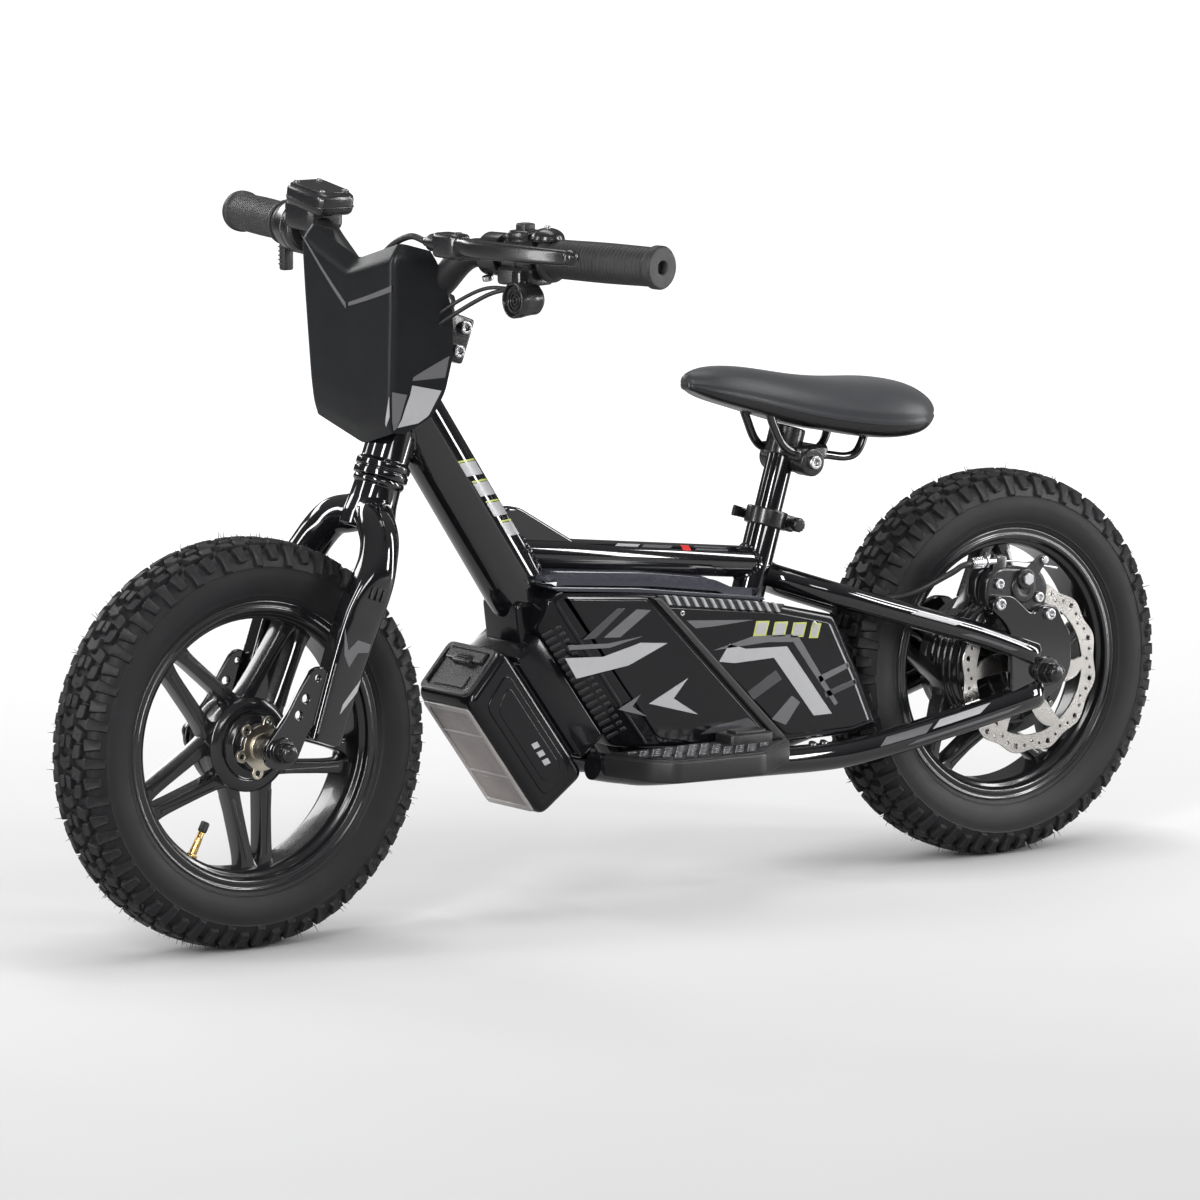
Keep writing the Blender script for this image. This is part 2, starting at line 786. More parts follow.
UPPER_STAY = [
    (0.133, 0.0150, 0.2465),
    (0.176, 0.0400, 0.2328),
    (0.2376, 0.0520, 0.2130),
    (0.3008, 0.0640, 0.1933),
    (DROPOUT_FRONT_X + 0.010, DROPOUT_Y, 0.1760),
]
LOWER_STAY = [
    (-0.062, 0.0405, 0.1165),
    (-0.035, 0.0405, 0.1110),
    (0.000, 0.0410, 0.1065),
    (0.100, 0.0435, 0.1045),
    (0.157, 0.0460, 0.1037),
    (0.190, 0.0500, 0.1060),
    (0.234, 0.0560, 0.1132),
    (0.285, 0.0640, 0.1242),
    (DROPOUT_FRONT_X + 0.012, DROPOUT_Y, 0.1385),
]
DROPOUT_BASE = [
    (DROPOUT_FRONT_X, 0.1270),
    (0.3475, 0.1265),
    (0.3640, 0.1350),
    (0.3840, 0.1480),
    (0.3905, 0.1600),
    (0.3908, 0.1850),
    (0.3800, 0.2020),
]
CALIPER_TAB = [
    (0.3755, 0.2110),
    (0.3630, 0.2125),
    (0.3500, 0.2060),
    (0.3300, 0.2230),
    (0.3130, 0.2240),
    (0.3090, 0.2140),
    (0.3250, 0.2010),
    (DROPOUT_FRONT_X, 0.1900),
]
PLAIN_TOP = [(0.3650, 0.2040), (0.3450, 0.1960), (DROPOUT_FRONT_X, 0.1880)]

stay_end_cutter = box(
    "stay_end_cutter", (0.08, 0.30, 0.20), at((DROPOUT_FRONT_X - GAP + 0.04, 0, 0.16))
)
dropout_bore = cylinder(
    "dropout_bore", AXLE_RADIUS + GAP, 0.3, aim(REAR_AXLE, LEFT), sides=24
)
front_cross = cylinder(
    "front_cross_tube",
    CROSS_TUBE_RADIUS,
    2 * (LOWER_STAY[2][1] - LOWER_STAY_RADIUS * 0.6),
    aim(FRONT_CROSS, LEFT),
    PAINT_FRAME,
)
rear_cross = cylinder(
    "rear_cross_tube",
    CROSS_TUBE_RADIUS,
    2 * (LOWER_STAY[3][1] - LOWER_STAY_RADIUS * 0.6),
    aim(REAR_CROSS, LEFT),
    PAINT_FRAME,
)
cross_cutters = [
    cylinder(f"{name}_cutter", CROSS_TUBE_RADIUS + GAP, 0.070, aim(centre, LEFT))
    for name, centre in (("front_cross", FRONT_CROSS), ("rear_cross", REAR_CROSS))
]
cut(keel_tube, cross_cutters[0])
cut(seat_tube, cross_cutters[1])

lower_stay_cutters = {}
for side, sign in SIDES.items():
    upper_path = stay_path(sign, UPPER_STAY)
    lower_path = stay_path(sign, LOWER_STAY)
    upper = mesh_tube(f"upper_stay_{side}", upper_path, UPPER_STAY_RADIUS, PAINT_FRAME, 3)
    cut(upper, seat_tube_cutter, stay_end_cutter, top_tube_cutter)
    lower = mesh_tube(f"lower_stay_{side}", lower_path, LOWER_STAY_RADIUS, PAINT_FRAME, 3)
    cut(lower, stay_end_cutter)
    lower_stay_cutters[side] = mesh_tube(
        f"lower_stay_cutter_{side}", lower_path, LOWER_STAY_RADIUS + GAP, resolution=3
    )
    outline = DROPOUT_BASE + (CALIPER_TAB if side == "left" else PLAIN_TOP)
    dropout = mesh_plate(
        f"dropout_{side}", [outline], DROPOUT_THICK, side_view(sign * DROPOUT_Y), PAINT_FRAME
    )
    cut(dropout, dropout_bore)
for cross in (front_cross, rear_cross):
    cut(cross, *lower_stay_cutters.values())

# Fork

crown = turned(
    "fork_crown",
    [
        (0.0, STEERER_TOP),
        (STEERER_RADIUS, STEERER_TOP),
        (STEERER_RADIUS, -GAP),
        (CROWN_TOP_RADIUS, -GAP),
        (CROWN_FOOT_RADIUS, -CROWN_HEIGHT),
        (0.0, -CROWN_HEIGHT),
    ],
    aim(STEER_BASE, UP_STEER),
    PAINT_FRAME,
    steps=24,
)
crown_cutter = turned(
    "crown_cutter",
    [
        (0.0, 0.0),
        (CROWN_TOP_RADIUS + GAP, 0.0),
        (CROWN_FOOT_RADIUS + GAP, -CROWN_HEIGHT),
        (CROWN_FOOT_RADIUS + GAP, -CROWN_HEIGHT - 0.02),
        (0.0, -CROWN_HEIGHT - 0.02),
    ],
    aim(STEER_BASE, UP_STEER),
)
cup_cutter = cylinder(
    "lower_cup_cutter", 0.05, 0.03, aim(STEER_BASE + UP_STEER * (0.015 - 2 * GAP), UP_STEER)
)
FORK_KNOTS = [
    (0.0060, 0.0150, -0.0310),
    (0.0110, 0.0290, -0.0370),
    (0.0120, 0.0425, -0.0520),
    (0.0145, FORK_OFFSET - 0.002, -0.0760),
    (0.0190, FORK_OFFSET, -FORK_BOX_TOP - 0.006),
]
FORK_PLATE = [
    (-0.3200, 0.1950),
    (-0.3200, 0.2120),
    (-0.3265, 0.2210),
    (-0.3370, 0.2190),
    (-0.3480, 0.2040),
    (-0.3600, 0.1850),
    (-0.3800, 0.1620),
    (-0.3790, 0.1480),
    (-0.3650, 0.1425),
    (-0.3520, 0.1480),
    (-0.3420, 0.1680),
    (-0.3300, 0.1830),
]
fork_bore = cylinder("fork_bore", AXLE_RADIUS + GAP, 0.3, aim(FRONT_AXLE, LEFT), sides=24)
fork_holes = [
    cylinder(f"fork_hole_{i}", 0.0033, 0.3, aim((x, 0.0, z), LEFT), sides=12)
    for i, (x, z) in enumerate(((-0.3425, 0.1970), (-0.3490, 0.1850)))
]
fork_parts = []
for side, sign in SIDES.items():
    knots = [steer_point(u, -sign * across, up) for u, across, up in FORK_KNOTS]
    leg = mesh_tube(f"fork_leg_{side}", smooth_path(knots, 2), FORK_TUBE_RADIUS, PAINT_FRAME, 3)
    cut(leg, crown_cutter, cup_cutter)
    box_length = FORK_BOX_FOOT - FORK_BOX_TOP
    blade = box(
        f"fork_blade_{side}",
        (FORK_BOX_WIDTH, FORK_BOX_THICK, box_length),
        STEER @ at((0.0205, -sign * FORK_OFFSET, -(FORK_BOX_TOP + FORK_BOX_FOOT) / 2)),
        foot=0.82,
    )
    hanger = mesh_plate(
        f"fork_plate_{side}",
        [FORK_PLATE],
        FORK_PLATE_THICK,
        side_view(sign * (FORK_OFFSET + 0.003)),
    )
    cut(hanger, fork_bore, *fork_holes)
    join(leg, blade, hanger)
    fork_parts.append(leg)

# Handlebar and stem


def bar_point(y):
    """The middle of the bar on its straight outer run."""
    return Vector((BAR_END_X - (0.283 - abs(y)) * math.tan(BAR_SWEEP), y, BAR_HEIGHT))


def bar_direction(sign):
    return Vector((math.sin(BAR_SWEEP), sign * math.cos(BAR_SWEEP), 0.0))


BAR_MIDDLE = steer_point(BAR_CLAMP_FORWARD, 0.0, BAR_CLAMP_UP)
half_bar = [
    Vector((BAR_MIDDLE.x, 0.030, BAR_MIDDLE.z)),
    Vector((BAR_MIDDLE.x + 0.001, 0.044, BAR_MIDDLE.z + 0.004)),
    Vector((BAR_MIDDLE.x + 0.0025, 0.064, BAR_MIDDLE.z + 0.018)),
    Vector((bar_point(0.090).x, 0.086, BAR_HEIGHT - 0.009)),
    Vector((bar_point(0.100).x, 0.100, BAR_HEIGHT - 0.0015)),
    bar_point(0.115),
]
right_half = smooth_path(half_bar, 2)
outer_end = bar_point(BAR_END)
bar_path = [Vector((point.x, -point.y, point.z)) for point in (outer_end, *reversed(right_half))]
bar_path += [*right_half, outer_end]
handlebar = tube("handlebar", bar_path, BAR_RADIUS, PAINT_FRAME, resolution=3)

STEM_RADIUS = 0.0195
STEM_FOOT = 0.100
stem = cylinder(
    "stem",
    STEM_RADIUS,
    STEERER_TOP - STEM_FOOT,
    STEER @ at((0.0, 0.0, (STEERER_TOP + STEM_FOOT) / 2)),
    PAINT_CAST,
    sides=16,
)
stem_back = box("stem_back", (0.036, 0.032, 0.033), STEER @ at((-0.020, 0.0, 0.1225)))
stem_arm = box("stem_arm", (0.036, 0.030, 0.022), STEER @ at((0.018, 0.0, 0.128)))
stem_cap = cylinder(
    "stem_cap", 0.0185, 0.010, STEER @ at((0.0, 0.0, STEERER_TOP + 0.0013)), sides=16
)
bar_clamp = cylinder("bar_clamp", 0.0175, 0.046, aim(BAR_MIDDLE, LEFT), sides=16)
steerer_bore = cylinder(
    "steerer_bore",
    STEERER_RADIUS + FIT,
    0.10,
    STEER @ at((0.0, 0.0, STEERER_TOP + GAP - 0.05)),
    sides=16,
)
bar_bore = cylinder("bar_bore", BAR_RADIUS + GAP, 0.20, aim(BAR_MIDDLE, LEFT), sides=20)
slit = box("stem_slit", (0.030, 0.0022, 0.060), STEER @ at((-0.028, 0.0, 0.121)))
join(stem, stem_back, stem_arm, bar_clamp, stem_cap)
cut(stem, steerer_bore, bar_bore, slit)

grips = []
for side, sign in SIDES.items():
    direction = bar_direction(sign)
    start = bar_point(sign * GRIP_START)
    to_end = (bar_point(sign * BAR_END) - start).length
    grips.append(
        turned(
            f"grip_{side}",
            [
                (0.0, to_end + GAP),
                (BAR_RADIUS + GAP, to_end + GAP),
                (BAR_RADIUS + GAP, 0.0),
                (GRIP_RADIUS + 0.0015, 0.0),
                (GRIP_RADIUS + 0.0015, 0.004),
                (GRIP_RADIUS, 0.006),
                (GRIP_RADIUS, GRIP_LENGTH),
                (FLANGE_RADIUS, GRIP_LENGTH + 0.001),
                (FLANGE_RADIUS, GRIP_LENGTH + FLANGE_LENGTH),
                (0.0, GRIP_LENGTH + FLANGE_LENGTH),
            ][::-1],
            aim(start, direction),
            PAINT_RUBBER,
            steps=16,
        )
    )

# Number plate

PLATE_THICK = 0.003
PLATE_TOP = Vector((-0.2655, 0.0, 0.5325))
PLATE_PITCH = math.radians(3.5)
PLATE_ROLL = math.radians(3.0)
PLATE_ROWS = [
    # height, fold half width, fold depth, centre height, centre depth, rear edge: depth, outward, height
    (0.010, 0.0620, 0.009, -0.010, 0.012, 0.032, 0.006, 0.002),
    (-0.001, 0.0635, 0.000, -0.020, 0.000, 0.036, 0.009, -0.008),
    (-0.040, 0.0615, 0.000, -0.050, 0.000, 0.046, 0.014, -0.045),
    (-0.080, 0.0585, 0.000, -0.085, 0.000, 0.047, 0.015, -0.080),
    (-0.110, 0.0560, 0.000, -0.115, 0.000, 0.042, 0.013, -0.108),
    (-0.128, 0.0545, 0.001, -0.138, 0.003, 0.033, 0.011, -0.126),
    (-0.138, 0.0530, 0.004, -0.155, 0.012, 0.012, 0.004, -0.139),
]


def plate_shell():
    shape = bmesh.new()
    rows = []
    for height, fold, depth, mid_height, mid_depth, rear_depth, outward, rear_height in PLATE_ROWS:
        rows.append(
            [
                shape.verts.new((rear_depth, -fold - outward, rear_height)),
                shape.verts.new((depth, -fold, height)),
                shape.verts.new((mid_depth, 0.0, mid_height)),
                shape.verts.new((depth, fold, height)),
                shape.verts.new((rear_depth, fold + outward, rear_height)),
            ]
        )
    for upper, lower in zip(rows, rows[1:]):
        for i in range(4):
            shape.faces.new((upper[i], lower[i], lower[i + 1], upper[i + 1]))
    bmesh.ops.triangulate(shape, faces=shape.faces)
    tilt = Matrix.Rotation(PLATE_ROLL, 4, "X") @ Matrix.Rotation(-PLATE_PITCH, 4, "Y")
    obj = mesh_object("number_plate", shape, at(PLATE_TOP) @ tilt, PAINT_PLASTIC, smooth=False)
    skin = obj.modifiers.new("skin", "SOLIDIFY")
    skin.thickness = PLATE_THICK
    skin.offset = -1.0
    skin.use_even_offset = True
    return obj


number_plate = plate_shell()
bar_clear = mesh_tube("bar_clearance", bar_path, BAR_RADIUS + GAP, resolution=3)
for sign in (-1, 1):
    strap = cylinder(
        f"plate_strap_{sign}",
        0.006,
        0.052,
        aim((-0.2385, sign * 0.046, BAR_MIDDLE.z + 0.0055), (1, 0, 0)),
        sides=16,
    )
    join(number_plate, strap)
cut(number_plate, bar_clear)

# Left hand controls

PERCH = bar_point(-0.126)
LEVER_PIVOT = Vector((-0.2465, -0.1240, 0.5415))
perch = cylinder("brake_perch", 0.0165, 0.018, aim(PERCH, bar_direction(-1)), PAINT_CAST, sides=20)
perch_arm = box("perch_arm", (0.030, 0.018, 0.014), at((-0.2340, -0.1200, 0.5390)))
perch_body = box("perch_body", (0.017, 0.030, 0.018), at((-0.2475, -0.1160, 0.5415)))
lever_slot = box("lever_slot", (0.040, 0.034, 0.0086), at((-0.2465, -0.1345, 0.5415)))
adjuster = cylinder("adjuster", 0.0048, 0.022, aim((-0.2475, -0.0935, 0.5420), LEFT), sides=12)
left_bore = cylinder(
    "left_bar_bore", BAR_RADIUS + GAP, 0.2, aim(bar_point(-0.15), bar_direction(-1)), sides=20
)
join(perch, perch_arm, perch_body, adjuster)
cut(perch, left_bore, lever_slot)

lever_axis = pivot("brake_lever_axis", LEVER_PIVOT, steering)
lever_tip = Vector((-0.2400, -0.2620, 0.5430))
lever_run = lever_tip - LEVER_PIVOT
LEVER_THICK = 0.008
lever_blade_across = Vector((lever_run.y, -lever_run.x, 0.0)).normalized()
lever_up = lever_blade_across.cross(lever_run.normalized())
lever = box(
    "brake_lever",
    (LEVER_THICK, 0.014, lever_run.length - 0.026),
    axes(
        LEVER_PIVOT + lever_run * 0.595,
        lever_blade_across,
        lever_up,
        lever_run.normalized(),
    ),
    PAINT_FRAME,
    bevel=0.0015,
)
lever_root = box(
    "lever_root",
    (LEVER_THICK, 0.0076, 0.046),
    axes(
        LEVER_PIVOT + lever_run.normalized() * 0.019,
        lever_blade_across,
        lever_up,
        lever_run.normalized(),
    ),
)
join(lever, lever_root)
carry(lever_axis, lever)

POD = bar_point(-0.1560)
pod = cylinder("switch_pod", 0.0160, 0.030, aim(POD, bar_direction(-1)), PAINT_PLASTIC, sides=24)
POD_BOX = (0.028, 0.036, 0.014)
POD_BOX_CENTRE = POD + Vector((-0.004, 0.0, -0.014))
pod_box = box("pod_box", POD_BOX, at(POD_BOX_CENTRE))
pod_top = box("pod_top", (0.020, 0.019, 0.010), at(POD + Vector((-0.001, 0.0025, 0.0150))))
BUTTON = POD + Vector((-0.001, 0.0025, 0.0215))
button_well = box("button_well", (0.0126, 0.0126, 0.012), at(BUTTON - Vector((0, 0, 0.0045))))
join(pod, pod_box, pod_top)
cut(pod, button_well, left_bore)
button = box("power_button", (0.012, 0.012, 0.007), at(BUTTON), PAINT_GREY, bevel=0.001)
button_axis = pivot("power_button_axis", BUTTON, steering)
carry(button_axis, button)

HORN = Vector((-0.2250, -0.1775, 0.5040))
HORN_RADIUS = 0.0135
horn = turned(
    "horn",
    [
        (0.0, 0.010),
        (0.0105, 0.0100),
        (0.0105, 0.0085),
        (HORN_RADIUS, 0.0085),
        (HORN_RADIUS, -0.0120),
        (0.0100, -0.0140),
        (0.0, -0.0140),
    ],
    aim(HORN, (-1, 0, 0)),
    PAINT_PLASTIC,
    steps=16,
)
horn_post = box("horn_post", (0.008, 0.010, 0.020), at((HORN.x + 0.004, -0.1680, 0.5120)))
pod_clear = box("pod_clear", tuple(side + 2 * GAP for side in POD_BOX), at(POD_BOX_CENTRE))
join(horn, horn_post)
cut(horn, pod_clear)

BELL = bar_point(-0.1770) + Vector((-0.002, 0.0, 0.0185))
BELL_RADIUS = 0.0130
bell = turned(
    "bell",
    [
        (0.0, 0.0110),
        (0.5 * BELL_RADIUS, 0.0098),
        (0.87 * BELL_RADIUS, 0.0060),
        (BELL_RADIUS, 0.0),
        (BELL_RADIUS - 0.0012, 0.0),
        (0.75 * BELL_RADIUS, 0.0054),
        (0.0028, 0.0084),
        (0.0028, -0.0010),
        (0.0, -0.0010),
    ],
    at(BELL),
    PAINT_GREY,
    steps=16,
)

# Right hand controls

HOUSING = bar_point(0.1470)
housing = cylinder(
    "throttle_housing", 0.0215, 0.036, aim(HOUSING, bar_direction(1)), PAINT_PLASTIC
)
hood = box(
    "throttle_hood",
    (0.034, 0.052, 0.018),
    at((-0.2150, 0.1110, 0.5590)) @ Matrix.Rotation(math.radians(9), 4, "X"),
)
right_bore = cylinder(
    "right_bar_bore", BAR_RADIUS + GAP, 0.2, aim(bar_point(0.15), bar_direction(1)), sides=20
)
join(housing, hood)
cut(housing, right_bore)
THROTTLE = bar_point(0.1715)
PADDLE_WIDTH = 0.0080
throttle = cylinder(
    "throttle_paddle", 0.0170, PADDLE_WIDTH, aim(THROTTLE, bar_direction(1)), PAINT_PLASTIC
)
paddle_blade = box(
    "paddle_blade", (0.010, PADDLE_WIDTH, 0.026), at(THROTTLE + Vector((-0.006, 0.0, -0.0230)))
)
join(throttle, paddle_blade)
cut(throttle, right_bore)
throttle_axis = pivot("throttle_axis", THROTTLE, steering)
carry(throttle_axis, throttle)

carry(
    steering,
    crown,
    front_axle,
    stem,
    handlebar,
    number_plate,
    perch,
    pod,
    horn,
    bell,
    housing,
    *fork_parts,
    *grips,
)

# Body

DOCK_BACK = BATTERY_DEPTH / 2 + GAP + DOCK_THICK
SHELL_FRONT_LOW = battery_point(0.0625, 0.0, DOCK_BACK + GAP)
SHELL_FRONT_HIGH = battery_point(-0.0595, 0.0, DOCK_BACK + GAP)
SHELL_OUTLINE = [
    (SHELL_FRONT_LOW.x, SHELL_FRONT_LOW.z),
    (0.1060, 0.1180),
    (0.1900, 0.1190),
    (0.2170, 0.1240),
    (0.2000, 0.1630),
    (0.1725, 0.2170),
    (0.0950, 0.2350),
    (-0.0200, 0.2500),
    (-0.0966, 0.2570),
    (-0.1070, 0.2510),
    (SHELL_FRONT_HIGH.x, SHELL_FRONT_HIGH.z),
]


def inset(outline, distance):
    """The outline drawn in by this distance. It runs anticlockwise."""
    count = len(outline)
    moved = []
    for i in range(count):
        before, here, after = (Vector(outline[(i + k) % count]) for k in (-1, 0, 1))
        first = (here - before).normalized()
        second = (after - here).normalized()
        normal = Vector((-first.y, first.x)) + Vector((-second.y, second.x))
        reach = distance / max(0.3, (1 + first.dot(second)) / 2)
        moved.append(tuple(here + normal / 2 * reach))
    return moved


def nose_cutter(side, sign, drawn_in):
    """Everything outside the side wall where it draws in towards the nose, less this much more."""
    turn = math.atan2(SHELL_OUTER_Y - SHELL_NOSE_Y, SHELL_FLARE)
    reach = 0.10
    start = Vector((SHELL_FRONT_HIGH.x, sign * (SHELL_NOSE_Y - drawn_in), 0.2))
    matrix = at(start) @ Matrix.Rotation(sign * turn, 4, "Z")
    offset = at((0.0, sign * reach / 2, 0.0))
    return box(f"nose_{side}_{drawn_in}", (2 * reach, reach, 2 * reach), matrix @ offset)


def body_shell(side, sign):
    depth = SHELL_OUTER_Y - SHELL_SPLIT
    middle = sign * (SHELL_SPLIT + depth / 2)
    shell = mesh_plate(
        f"body_shell_{side}", [SHELL_OUTLINE], depth, side_view(middle), PAINT_PLASTIC
    )
    room = mesh_plate(
        f"shell_room_{side}",
        [inset(SHELL_OUTLINE, SHELL_WALL)],
        depth,
        side_view(middle - sign * SHELL_WALL),
    )
    cut(room, nose_cutter(side, sign, SHELL_WALL))
    cut(shell, nose_cutter(side, sign, 0.0), wheel_room)
    cut(shell, room, down_tube_cutter, keel_cutter, seat_tube_cutter, top_tube_cutter)
    return shell


wheel_room = cylinder(
    "wheel_room",
    TYRE_RADIUS + WHEEL_CLEARANCE,
    2 * (TYRE_HALF_WIDTH + WHEEL_CLEARANCE),
    aim(REAR_AXLE, LEFT),
    sides=48,
)
shells = [body_shell(side, sign) for side, sign in SIDES.items()]

COVER_OUTLINE = [
    (-0.1065, 0.2620),
    (-0.0966, 0.2573 + GAP),
    (-0.0200, 0.2503 + GAP),
    (0.0950, 0.2353 + GAP),
    (0.1175 - SEAT_TUBE_RADIUS, 0.2340 + 2 * GAP),
    (0.0755 - SEAT_TUBE_RADIUS, 0.2530),
    (-0.0020, 0.2620),
    (-0.0900, 0.2700),
    (-0.1030, 0.2690),
]
top_cover = mesh_plate(
    "top_cover", [COVER_OUTLINE], 2 * COVER_HALF_WIDTH, side_view(0.0), PAINT_GREY
)
cut(top_cover, down_tube_cutter, top_tube_cutter)

BATTERY_OUTLINE = [
    (along * (BATTERY_LENGTH / 2 + slant), back * BATTERY_DEPTH / 2)
    for along, back, slant in (
        (-1, -1, -BATTERY_SLANT),
        (1, -1, 0.0),
        (1, 1, 0.0),
        (-1, 1, BATTERY_SLANT),
    )
]
battery = prism("battery", BATTERY_OUTLINE, BATTERY_WIDTH, BATTERY_SIDE, PAINT_PLASTIC, BATTERY_BEVEL)
LATCH = battery_point(-BATTERY_LENGTH / 2 - 0.0005, 0.0, 0.008)
LATCH_BASIS = axes(LATCH, Vector((0, 1, 0)), BATTERY_BACK, BATTERY_LONG)
latch_well = box(
    "latch_well",
    (LATCH_SIZE.x + 2 * GAP, LATCH_SIZE.y + 2 * GAP, LATCH_SIZE.z + 2 * LATCH_TRAVEL),
    LATCH_BASIS,
)
cut(battery, latch_well)
latch = box("battery_latch", LATCH_SIZE, LATCH_BASIS, PAINT_GREY, bevel=0.001)
battery_axis = pivot("battery_axis", BATTERY_CENTRE)
latch_axis = pivot("battery_latch_axis", LATCH, battery_axis)
carry(battery_axis, battery)
carry(latch_axis, latch)

DOCK_CENTRE = battery_point(-0.0015, 0.0, BATTERY_DEPTH / 2 + GAP + DOCK_THICK / 2)
dock = box(
    "battery_dock",
    (2 * DOCK_HALF_WIDTH, DOCK_LENGTH, DOCK_THICK),
    axes(DOCK_CENTRE, LEFT, BATTERY_LONG, BATTERY_BACK),
    PAINT_PLASTIC,
    foot=0.84,
)
cut(dock, down_tube_cutter)

controller = box(
    "motor_controller",
    (0.070, 0.044, 0.026),
    at((0.0260, 0.0, 0.2080)) @ Matrix.Rotation(math.radians(8), 4, "Y"),
    PAINT_STEEL,
    bevel=0.001,
)
controller_strap = box(
    "controller_strap",
    (0.014, 2 * (SHELL_OUTER_Y - SHELL_WALL - GAP), 0.010),
    at((0.040, 0.0, 0.205)),
)
join(controller, controller_strap)
cut(controller, keel_cutter)

FOOTREST_OUTLINE = [
    (-0.0600, FOOTREST_INNER),
    (-0.0480, 0.0940),
    (-0.0330, 0.1120),
    (0.0500, 0.1170),
    (0.1070, 0.0740),
    (0.1120, FOOTREST_INNER),
]
for side, sign in SIDES.items():
    outline = [(x, sign * y) for x, y in FOOTREST_OUTLINE]
    step = mesh_plate(
        f"footrest_{side}",
        [outline],
        FOOTREST_THICK,
        at((0.0, 0.0, FOOTREST_TOP - FOOTREST_THICK / 2)),
        PAINT_PLASTIC,
    )
    riser = box(
        f"footrest_riser_{side}",
        (0.040, 0.024, 0.012),
        at((0.070, sign * 0.0620, FOOTREST_TOP + 0.001)),
    )
    join(step, riser)
    cut(step, lower_stay_cutters[side])

# Seat

COLLAR_HEIGHT = 0.014
COLLAR = SEAT_TUBE_TOP - SEAT_UP * (COLLAR_HEIGHT / 2 - 0.002)
SKEWER_BACK = SEAT_TUBE_RADIUS + 0.005
SEAT_BACK = Vector((math.cos(SEAT_LEAN), 0.0, -math.sin(SEAT_LEAN)))
SKEWER = COLLAR + SEAT_BACK * SKEWER_BACK
SEAT_BASIS = axes(COLLAR, SEAT_BACK, Vector((0, 1, 0)), SEAT_UP)
collar = cylinder("seat_collar", 0.0168, COLLAR_HEIGHT, SEAT_BASIS, PAINT_CAST, sides=16)
ears = box("collar_ears", (0.014, 0.016, COLLAR_HEIGHT - 0.001), SEAT_BASIS @ at((0.0175, 0.0, 0.0)))
skewer = cylinder("skewer", 0.003, 0.0365, aim(SKEWER + LEFT * 0.0034, LEFT), sides=8)
skewer_nut = cylinder("skewer_nut", 0.0055, 0.010, aim(SKEWER + LEFT * 0.0170, LEFT), sides=10)
collar_slit = box("collar_slit", (0.030, 0.002, 0.03), SEAT_BASIS @ at((0.015, 0.0, 0.0)))
collar_step = cylinder(
    "collar_step",
    1.0222 * SEAT_TUBE_RADIUS,
    0.03,
    aim(SEAT_TUBE_TOP + SEAT_UP * (GAP - 0.015), SEAT_UP),
    sides=16,
)
post_cutter = cylinder(
    "post_cutter", SEAT_POST_RADIUS + GAP, 0.20, aim(SEAT_TUBE_TOP, SEAT_UP), sides=16
)
join(collar, ears)
cut(collar, collar_slit, collar_step, post_cutter)
join(collar, skewer, skewer_nut)

QR_PIVOT = SKEWER + Vector((0.0, 0.0205, 0.0))
qr_axis = pivot("seat_lever_axis", QR_PIVOT)
qr_lever = cylinder("seat_lever", 0.0052, 0.0075, aim(QR_PIVOT, SEAT_UP), PAINT_CAST, sides=16)
qr_blade = box(
    "seat_lever_blade",
    (0.034, 0.004, 0.0070),
    SEAT_BASIS @ at((SKEWER_BACK - 0.019, 0.0218, 0.0)),
)
join(qr_lever, qr_blade)
carry(qr_axis, qr_lever)

seat_axis = pivot("seat_height_axis", SEAT_POINT)
POST_TOP = SEAT_POINT + SEAT_UP * SEAT_POST_RISE
seat_post = cylinder(
    "seat_post",
    SEAT_POST_RADIUS,
    SEAT_POST_DEPTH + SEAT_POST_RISE,
    aim(SEAT_POINT + SEAT_UP * (SEAT_POST_RISE - SEAT_POST_DEPTH) / 2, SEAT_UP),
    PAINT_FRAME,
)

SADDLE_CLAMP = Vector((0.1625, 0.0, 0.3385))
RAIL_PATH = [
    (0.1270, 0.0170, 0.3800),
    (0.1310, 0.0172, 0.3700),
    (0.1380, 0.0180, 0.3560),
    (0.1470, 0.0195, 0.3480),
    (0.1600, 0.0210, 0.3452),
    (0.1800, 0.0225, 0.3428),
    (0.1980, 0.0235, 0.3402),
    (0.2090, 0.0240, 0.3430),
    (0.2160, 0.0240, 0.3540),
    (0.2175, 0.0240, 0.3600),
]
left_rail = [Vector((x, -y, z)) for x, y, z in RAIL_PATH]
right_rail = [Vector((point.x, -point.y, point.z)) for point in left_rail]
bridge = [
    Vector((0.1235, -0.0130, 0.3880)),
    Vector((0.1215, 0.0, 0.3890)),
    Vector((0.1235, 0.0130, 0.3880)),
]
rail_path = [*reversed(left_rail), *bridge, *right_rail]
rails = mesh_tube("saddle_rails", rail_path, RAIL_RADIUS, PAINT_FRAME, resolution=2)
rail_cutters = [
    mesh_tube("rail_cutter_left", left_rail[2:8], RAIL_RADIUS + GAP, resolution=2),
    mesh_tube("rail_cutter_right", right_rail[2:8], RAIL_RADIUS + GAP, resolution=2),
]
clamp = cylinder("saddle_clamp", 0.0115, 0.058, aim(SADDLE_CLAMP, LEFT), PAINT_CAST, sides=16)
sleeve = cylinder("clamp_sleeve", 0.0145, 0.024, aim(POST_TOP - SEAT_UP * 0.010, SEAT_UP), sides=20)
top_hat = box("clamp_top", (0.030, 0.054, 0.0115), at(SADDLE_CLAMP + Vector((0.002, 0.0, 0.0065))))
post_socket = cylinder(
    "post_socket", SEAT_POST_RADIUS + GAP, 0.20, aim(POST_TOP + SEAT_UP * (GAP - 0.10), SEAT_UP), sides=20
)
join(clamp, sleeve, top_hat)
cut(clamp, post_socket, *rail_cutters)

